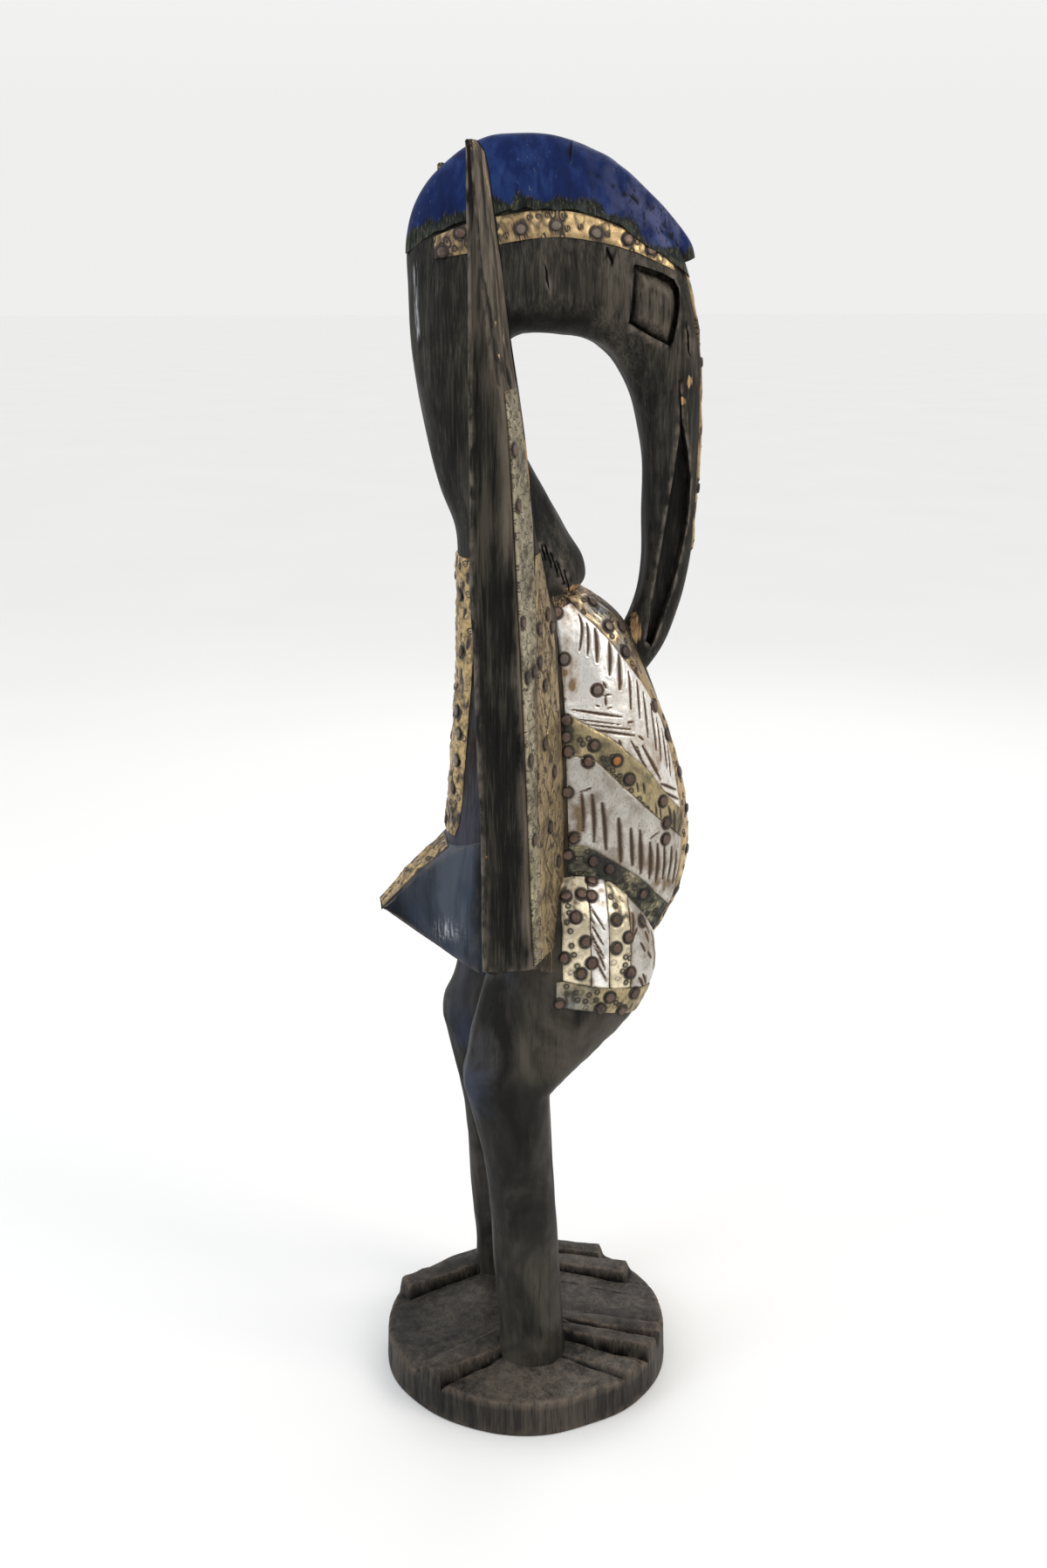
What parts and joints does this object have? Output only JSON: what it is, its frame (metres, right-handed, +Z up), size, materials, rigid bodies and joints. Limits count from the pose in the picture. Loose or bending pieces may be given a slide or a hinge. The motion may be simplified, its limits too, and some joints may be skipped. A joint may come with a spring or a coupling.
{
  "type": "carved hornbill figure",
  "caption": "Standing hornbill figure carved with its round base from a single log, with nailed brass and aluminium sheets over head, breast, thighs, wings and spine.",
  "frame": {"origin": "centre of the base's round underside, where it stands on the floor", "axes": "+Z up the figure, -Y the way the bird faces, +X to the bird's left"},
  "size_m": [0.307, 0.3213, 1.255],
  "materials": {
    "carved_wood": "dark stained, dull, with a blue painted crest",
    "brass": "worn sheet with dark patina and punched rings",
    "aluminium": "worn bright sheet with cut slots"
  },
  "bodies": {
    "root": {"carved_bird_and_base": "carved_wood", "brass_head_band_right": "brass", "aluminium_breast_sheet_right": "aluminium", "brass_diagonal_band_right": "brass", "aluminium_belly_sheet_right": "aluminium", "brass_lower_band_right": "brass", "brass_breast_strip_right": "brass", "brass_thigh_panel_rear_right": "brass", "aluminium_thigh_panel_inner_right": "aluminium", "brass_thigh_panel_front_right": "brass", "aluminium_thigh_panel_outer_right": "aluminium", "brass_thigh_band_right": "brass", "brass_wing_strip_outer_right": "brass", "brass_wing_strip_inner_right": "brass", "brass_head_band_left": "brass", "aluminium_breast_sheet_left": "aluminium", "brass_diagonal_band_left": "brass", "aluminium_belly_sheet_left": "aluminium", "brass_lower_band_left": "brass", "brass_breast_strip_left": "brass", "brass_thigh_panel_rear_left": "brass", "aluminium_thigh_panel_inner_left": "aluminium", "brass_thigh_panel_front_left": "brass", "aluminium_thigh_panel_outer_left": "aluminium", "brass_thigh_band_left": "brass", "brass_wing_strip_outer_left": "brass", "brass_wing_strip_inner_left": "brass", "brass_beak_strip": "brass", "brass_spine_strip": "brass", "brass_tail_strip": "brass"}
  },
  "joints": []
}
